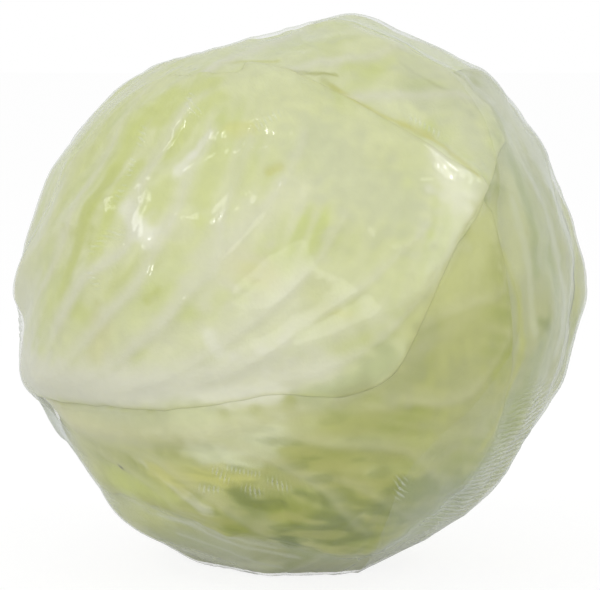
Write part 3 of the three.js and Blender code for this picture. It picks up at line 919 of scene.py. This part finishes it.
def film_wrinkles(d):
    """Creases and soft ripples, mostly towards the sides."""
    points = d * HEART_RADIUS
    away = off(d, 0, 0)
    side = smoothstep(50, 80, away)
    low = bump(off(d, -35, -58), 22)
    sweep = np.sin(2 * math.pi * away * ARC / 7.5 + 2.0 * ripples(points, 34, 71))
    swell = 0.06 * ripples(points, 11, 73) + 0.06 * side * ripples(points * (1, 0.4, 1), 10, 72)
    for width, height, places in CREASES:
        swell = np.maximum(swell, 0.8 * height * bump(from_path(d, places), width))
    return swell + 0.12 * low * sweep * smoothstep(-0.6, 1.2, ripples(points, 18, 75))


def film_haze(d):
    """How milky the film is: a little all over, and more in places."""
    haze = with_mounds(0.012, d, HAZE)
    return np.clip(haze + 0.012 * ripples(d * HEART_RADIUS, 22, 74), 0.01, 0.85)


def ripple_share(d):
    """Where the film is gathered in fine ripples, whose crests carry white painted glints: at the
    lower right and along short puckers.
    """
    band = bump(off(d, 0, 0) - 66, 9)
    ring = np.degrees(np.arctan2(d[..., 2], d[..., 0]))
    share = band * smoothstep(-66, -50, ring) * (1 - smoothstep(-24, -14, ring))
    for strength, width, places in GATHERS:
        share = np.maximum(share, strength * bump(from_path(d, places), width))
    return share


def cut_vents(piece, d):
    """Opens the film's round vents and draws the cut edges onto a circle."""
    mesh = bmesh.new()
    mesh.from_mesh(piece.data)
    mesh.verts.ensure_lookup_table()
    for azimuth, elevation in VENTS:
        away = off(d, azimuth, elevation) * ARC * SKIN
        inside = {i for i in np.flatnonzero(away < VENT_RADIUS)}
        faces = {f for i in inside for f in mesh.verts[i].link_faces}
        rim = {v for f in faces for v in f.verts if v.index not in inside}
        bmesh.ops.delete(mesh, geom=[mesh.verts[i] for i in inside], context="VERTS")
        axis = direction(azimuth, elevation)
        for vert in rim:
            arm = np.array(vert.co) / MM - MIDDLE
            side = arm - (arm @ axis) * axis
            arm += side * (VENT_RADIUS / np.linalg.norm(side) - 1)
            vert.co = (arm + MIDDLE) * MM
        mesh.verts.ensure_lookup_table()
        d = np.array([np.array(v.co) / MM - MIDDLE for v in mesh.verts])
        d /= np.linalg.norm(d, axis=1)[:, None]
        mesh.verts.index_update()
    mesh.to_mesh(piece.data)
    mesh.free()


def make_film():
    v = film_rows()[:, None]
    turn = film_turn()[None, :]
    azimuth = through(LAP_EDGE, (v + 90) / 180) + turn
    d = direction(azimuth, v + 0 * azimuth)
    leaves = np.maximum(level_under(d), stalk_cover(d))
    span = np.maximum(hull_radius(d) - leaves, 0)
    span = FILM_SPAN * (1 - np.exp(-span / FILM_SPAN))
    outside = smoothstep(LAP_WIDTH - 356, LAP_WIDTH - 364, turn)
    radius = leaves + FILM_CLEAR + span + film_wrinkles(d) + LAP_RISE * outside
    radius = settled(d, radius, radius)
    points = (d * radius[..., None] + MIDDLE).reshape(-1, 3)
    ring = np.arctan2(d[..., 2], d[..., 0]) * FILM_RADIUS
    place = np.stack([ring, off(d, 0, 0) * ARC, 0 * ring], -1).reshape(-1, 3) * MM
    data = np.stack([film_haze(d), 0 * ring, ripple_share(d)], -1).reshape(-1, 3)
    faces = grid_faces(len(v) - 1, turn.shape[1] - 1)[:, ::-1].tolist()
    film = make_object("film_wrap", points, faces, data, place)
    cut_vents(film, d.reshape(-1, 3))
    return film


# ---- materials ----


class Graph:
    """The nodes of a material or the world, with short ways to add and join them."""

    def __init__(self, owner):
        owner.use_nodes = True
        self.nodes, self.links = owner.node_tree.nodes, owner.node_tree.links
        self.nodes.clear()

    def put(self, socket, value):
        if isinstance(value, bpy.types.NodeSocket):
            self.links.new(value, socket)
        else:
            socket.default_value = value

    def add(self, kind, operation=None, **inputs):
        """A node whose inputs are set to values or joined to sockets."""
        node = self.nodes.new("ShaderNode" + kind)
        if operation:
            node.operation = operation
        for name, value in inputs.items():
            self.put(node.inputs[name.replace("_", " ")], value)
        return node

    def math(self, operation, a, b=0.0):
        node = self.add("Math", operation)
        self.put(node.inputs[0], a)
        self.put(node.inputs[1], b)
        return node.outputs[0]

    def times(self, a, b):
        return self.math("MULTIPLY", a, b)

    def plus(self, a, b):
        return self.math("ADD", a, b)

    def attribute(self, name, output):
        node = self.add("Attribute")
        node.attribute_name = name
        return node.outputs[output]

    def mix(self, share, first, second):
        node = self.add("MixShader", Fac=share)
        self.put(node.inputs[1], first.outputs[0])
        self.put(node.inputs[2], second.outputs[0])
        return node

    def backdrop_rays(self):
        """1 for the rays that see the backdrop directly, in gloss or through something clear."""
        path = self.add("LightPath").outputs
        seen = self.math("MAXIMUM", path["Is Camera Ray"], path["Is Glossy Ray"])
        return self.math("MAXIMUM", seen, path["Is Transmission Ray"])


def new_material(name):
    material = bpy.data.materials.new(name)
    return material, Graph(material)


def leaf_material(name, roughness=0.48):
    material, graph = new_material(name)
    place = graph.attribute("place", "Vector")
    net = graph.add("TexVoronoi", Vector=place, Scale=150.0)
    net.feature = "DISTANCE_TO_EDGE"
    speckle = graph.add("TexNoise", Vector=place, Scale=900.0, Detail=3.0)
    cloud = graph.add("TexNoise", Vector=place, Scale=160.0, Detail=4.0, Roughness=0.6)
    distance = net.outputs["Distance"]
    fine = graph.add("MapRange", Value=distance, From_Max=0.12, To_Min=1.014, To_Max=0.997)
    mottle = graph.add("MapRange", Value=cloud.outputs["Fac"], To_Min=0.95, To_Max=1.05)
    shade = graph.times(fine.outputs[0], mottle.outputs[0])
    paint = graph.attribute("paint", "Color")
    shaded = graph.add("VectorMath", "SCALE", Vector=paint, Scale=shade)
    height = graph.plus(cloud.outputs["Fac"], speckle.outputs["Fac"])
    relief = graph.add("Bump", Strength=0.25, Distance=0.0006, Height=height)
    shader = graph.add(
        "BsdfPrincipled",
        Roughness=roughness,
        Subsurface_Weight=0.12,
        Subsurface_Radius=(1.0, 1.0, 0.5),
        Subsurface_Scale=0.0015,
        Base_Color=shaded.outputs[0],
        Normal=relief.outputs[0],
    )
    graph.add("OutputMaterial", Surface=shader.outputs[0])
    return material


def film_material():
    material, graph = new_material("shrink_film")
    times, plus = graph.times, graph.plus
    share = graph.add("SeparateColor", Color=graph.attribute("paint", "Color"))
    ring = graph.add("SeparateXYZ", Vector=graph.attribute("place", "Vector"))
    place = graph.add("TexCoord").outputs["Object"]
    crumple = graph.add("TexNoise", Vector=place, Scale=110.0, Detail=3.0, Roughness=0.55)
    crumple = crumple.outputs["Fac"]
    turns = times(ring.outputs["X"], 2 * math.pi * RIPPLES[0])
    outward = times(ring.outputs["Y"], 2 * math.pi * RIPPLES[1])
    wave = graph.math("SINE", plus(plus(turns, outward), times(crumple, 9.0)))
    wave = times(times(wave, share.outputs["Blue"]), 0.12)
    height = plus(times(crumple, 0.25), wave)
    relief = graph.add("Bump", Strength=1.0, Distance=0.001, Height=height).outputs[0]
    facing = graph.add("LayerWeight", Blend=0.5, Normal=relief)
    edge = graph.math("POWER", facing.outputs["Facing"], 5.0)
    mirror = plus(times(edge, 0.12), 0.032)
    # painted glints: white on the ripple crests, the same from every side
    crest_glint = times(graph.math("MAXIMUM", wave), 1.1)
    # the white veil: the film's milkiness, whiter at grazing angles, plus the painted glints
    milk = plus(plus(times(edge, 0.55), share.outputs["Red"]), crest_glint)
    clear = graph.add("BsdfTransparent", Color=(1, 1, 1, 1))
    white = graph.add("BsdfDiffuse", Color=(0.86, 0.90, 0.86, 1))
    gloss = graph.add("BsdfGlossy", Roughness=0.09, Normal=relief)
    shine = graph.mix(mirror, graph.mix(milk, clear, white), gloss)
    graph.add("OutputMaterial", Surface=shine.outputs[0])
    return material


# ---- the pieces ----


def dress():
    for index, leaf in enumerate(LEAVES):
        piece = make_leaf(index)
        piece.data.materials.append(leaf_material("leaf_" + leaf.name))
        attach(piece, "root")
        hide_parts(leaf.name)
    heart = make_heart()
    heart.data.materials.append(leaf_material("heart_leaf"))
    stalk = make_stalk()
    stalk.data.materials.append(leaf_material("cut_stalk", 0.7))
    film = make_film()
    film.data.materials.append(film_material())
    film.visible_shadow = False  # so thin and clear that it dims nothing under it
    for piece, node in ((heart, "heart"), (stalk, "stalk"), (film, "shrink_film")):
        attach(piece, "root")
        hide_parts(node)


# ---- stage ----


WORLD_LIGHT = 0.63
FLOOR_GLOW = 0.78
LAMPS = (  # name, azimuth, elevation, distance and size in metres, watts
    ("key", -75, 26, 1.1, 0.17, 0.4),
    ("high", -61, 47, 1.1, 0.24, 0.6),
    ("fill", 80, 42, 1.1, 0.3, 0.7),
    ("side", 60, 20, 1.2, 0.7, 0.6),
    ("front", 0, 3, 1.3, 0.9, 4.3),
    ("glint_left", -69, 45, 1.1, 0.06, 0.3),
    ("glint_high", -30, 70, 1.1, 0.06, 0.3),
    ("glint_right", 77, 42, 1.1, 0.06, 0.3),
    ("glint_low", -40, 2, 1.1, 0.06, 0.3),
)


def make_world():
    world = bpy.data.worlds.new("studio")
    bpy.context.scene.world = world
    graph = Graph(world)
    light = graph.add("Background", Color=(1, 1, 1, 1), Strength=WORLD_LIGHT)
    white = graph.add("Background", Color=(1, 1, 1, 1), Strength=1.0)
    both = graph.mix(graph.backdrop_rays(), light, white)
    graph.add("OutputWorld", Surface=both.outputs[0])


def make_floor():
    half = 4000.0
    points = np.array([[-half, -half, 0], [half, -half, 0], [half, half, 0], [-half, half, 0]])
    floor = make_object("floor", points, [(0, 1, 2, 3)])
    material, graph = new_material("floor")
    plain = graph.add("BsdfDiffuse", Color=(0.82, 0.82, 0.82, 1))
    glow = graph.add("Emission", Color=(1, 1, 1, 1), Strength=1.12)
    both = graph.mix(graph.times(graph.backdrop_rays(), FLOOR_GLOW), plain, glow)
    graph.add("OutputMaterial", Surface=both.outputs[0])
    floor.data.materials.append(material)


def aim(name, data, azimuth, elevation, distance):
    """Puts a lamp or the camera at a distance in metres from the head, turned towards it."""
    piece = bpy.data.objects.new(name, data)
    bpy.context.scene.collection.objects.link(piece)
    way = direction(azimuth, elevation)
    piece.location = MIDDLE * MM + way * distance
    piece.rotation_euler = Vector(way).to_track_quat("Z", "Y").to_euler()
    return piece


def add_lamp(name, azimuth, elevation, distance, size, power):
    lamp = bpy.data.lights.new(name, "AREA")
    lamp.shape = "DISK"
    lamp.size = size
    lamp.energy = power
    aim(name, lamp, azimuth, elevation, distance)


def make_camera():
    distance, head_radius = 1.0, 86 * MM
    head_share = 71 / 150  # of the picture's width, taken up by the head's radius
    camera = bpy.data.cameras.new("camera")
    camera.sensor_width = 36
    spread = math.tan(math.asin(head_radius / distance))
    camera.lens = head_share / spread * camera.sensor_width
    camera.clip_start = 0.05
    camera.shift_x, camera.shift_y = 1 / 400, -1 / 600
    bpy.context.scene.camera = aim("camera", camera, *VIEW, distance)


def make_stage():
    make_world()
    make_floor()
    for lamp in LAMPS:
        add_lamp(*lamp)
    make_camera()
    bpy.context.scene.view_settings.view_transform = "Standard"


make_stage()
dress()
